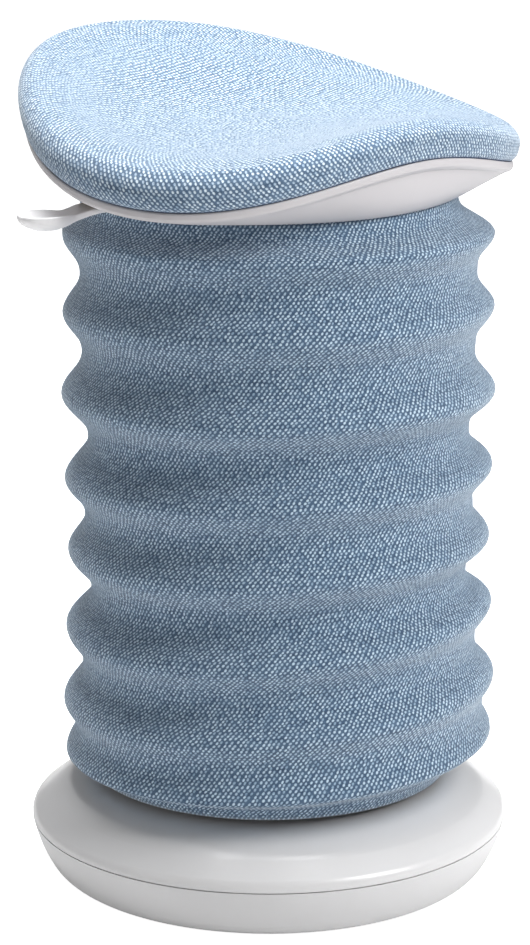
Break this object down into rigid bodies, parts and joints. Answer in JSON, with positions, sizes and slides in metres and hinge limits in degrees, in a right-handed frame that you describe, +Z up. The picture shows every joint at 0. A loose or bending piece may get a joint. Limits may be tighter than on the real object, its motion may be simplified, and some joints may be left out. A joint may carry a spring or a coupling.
{
  "type": "wobble stool",
  "caption": "Height-adjustable active sitting stool with a weighted round rocking base, a collapsible fabric bellows round a gas lift, a padded saddle seat and a release lever",
  "frame": {"origin": "on the floor at the middle of the sole, under the column's axis", "axes": "+Z up along the column; -Y towards the front of the seat; -X towards the sitter's right, where the release lever is"},
  "size_m": [0.4278, 0.3775, 0.6485],
  "materials": {
    "base_plastic": "satin-gloss",
    "shell_plastic": "satin",
    "knit": "heathered knit",
    "foam": "open foam",
    "rubber": "matt",
    "iron": "painted rough casting",
    "black_steel": "powder coat",
    "bright_steel": "ground",
    "chromed": "polished",
    "inner_plastic": "moulded",
    "board_wood": "moulded ply"
  },
  "bodies": {
    "base": {"rocker_sole": "rubber", "base_bowl": "base_plastic", "base_cover": "base_plastic", "cover_screws": "bright_steel", "ballast_disc": "iron", "ballast_bolts": "bright_steel", "column_hub": "iron", "hub_bolts": "bright_steel", "stand_tube": "black_steel", "guide_bush": "inner_plastic", "bearing_lower_washer": "bright_steel", "bearing_cage": "inner_plastic", "bearing_balls": "bright_steel", "glide_ring": "inner_plastic"},
    "swivel": {"bearing_upper_washer": "bright_steel", "piston_rod": "chromed", "rod_clip": "bright_steel", "rod_bumper": "rubber", "gas_piston": "inner_plastic", "bellows_carrier": "inner_plastic", "bellows_fabric": "knit"},
    "lift": {"gas_cylinder": "chromed", "cylinder_gland": "inner_plastic", "taper_socket": "black_steel", "mechanism_plate": "black_steel", "seat_bolts": "bright_steel", "seat_shell": "shell_plastic", "seat_board": "board_wood", "seat_pad": "foam", "seat_cover": "knit", "top_collar": "inner_plastic", "collar_screws": "bright_steel", "lever_bracket": "black_steel", "lever_pin": "bright_steel"},
    "lever": {"lever_arm": "shell_plastic", "lever_paddle": "shell_plastic"},
    "valve": {"valve_button": "bright_steel"},
    "hoop_body_1": {"hoop_1": "inner_plastic"},
    "hoop_body_2": {"hoop_2": "inner_plastic"},
    "hoop_body_3": {"hoop_3": "inner_plastic"},
    "hoop_body_4": {"hoop_4": "inner_plastic"},
    "hoop_body_5": {"hoop_5": "inner_plastic"},
    "hoop_body_6": {"hoop_6": "inner_plastic"},
    "hoop_body_7": {"hoop_7": "inner_plastic"},
    "hoop_body_8": {"hoop_8": "inner_plastic"}
  },
  "joints": [
    {"name": "seat_swivel", "type": "hinge", "parent": "base", "child": "swivel", "pos_m": [0, 0, 0], "axis": [0, 0, 1], "continuous": true},
    {"name": "seat_height", "type": "slide", "parent": "swivel", "child": "lift", "axis": [0, 0, 1], "range_m": [-0.15, 0], "deforming": ["bellows_fabric"]},
    {"name": "lever_lift", "type": "hinge", "parent": "lift", "child": "lever", "pos_m": [-0.0547, 0.00575, 0.5426], "axis": [0.1045, 0.9945, 0], "range_deg": [0, 3], "stiffness_Nm_per_rad": 4, "springref_deg": -3.44},
    {"name": "valve_press", "type": "slide", "parent": "lift", "child": "valve", "axis": [0, 0, -1], "range_m": [0, 0.0036]},
    {"name": "hoop_1_rise", "type": "slide", "parent": "swivel", "child": "hoop_body_1", "axis": [0, 0, 1], "range_m": [-0.1414, 0.002]},
    {"name": "hoop_2_rise", "type": "slide", "parent": "swivel", "child": "hoop_body_2", "axis": [0, 0, 1], "range_m": [-0.1221, 0.002]},
    {"name": "hoop_3_rise", "type": "slide", "parent": "swivel", "child": "hoop_body_3", "axis": [0, 0, 1], "range_m": [-0.1007, 0.002]},
    {"name": "hoop_4_rise", "type": "slide", "parent": "swivel", "child": "hoop_body_4", "axis": [0, 0, 1], "range_m": [-0.0802, 0.002]},
    {"name": "hoop_5_rise", "type": "slide", "parent": "swivel", "child": "hoop_body_5", "axis": [0, 0, 1], "range_m": [-0.0613, 0.002]},
    {"name": "hoop_6_rise", "type": "slide", "parent": "swivel", "child": "hoop_body_6", "axis": [0, 0, 1], "range_m": [-0.0421, 0.002]},
    {"name": "hoop_7_rise", "type": "slide", "parent": "swivel", "child": "hoop_body_7", "axis": [0, 0, 1], "range_m": [-0.0228, 0.002]},
    {"name": "hoop_8_rise", "type": "slide", "parent": "swivel", "child": "hoop_body_8", "axis": [0, 0, 1], "range_m": [-0.0086, 0.002]}
  ],
  "couplings": [
    {"joint": "valve_press", "follows": "lever_lift", "m_per_rad": 0.055},
    {"joint": "hoop_1_rise", "follows": "seat_height", "ratio": 0.929},
    {"joint": "hoop_2_rise", "follows": "seat_height", "ratio": 0.8005},
    {"joint": "hoop_3_rise", "follows": "seat_height", "ratio": 0.6579},
    {"joint": "hoop_4_rise", "follows": "seat_height", "ratio": 0.5212},
    {"joint": "hoop_5_rise", "follows": "seat_height", "ratio": 0.3952},
    {"joint": "hoop_6_rise", "follows": "seat_height", "ratio": 0.2676},
    {"joint": "hoop_7_rise", "follows": "seat_height", "ratio": 0.1389},
    {"joint": "hoop_8_rise", "follows": "seat_height", "ratio": 0.0442}
  ]
}
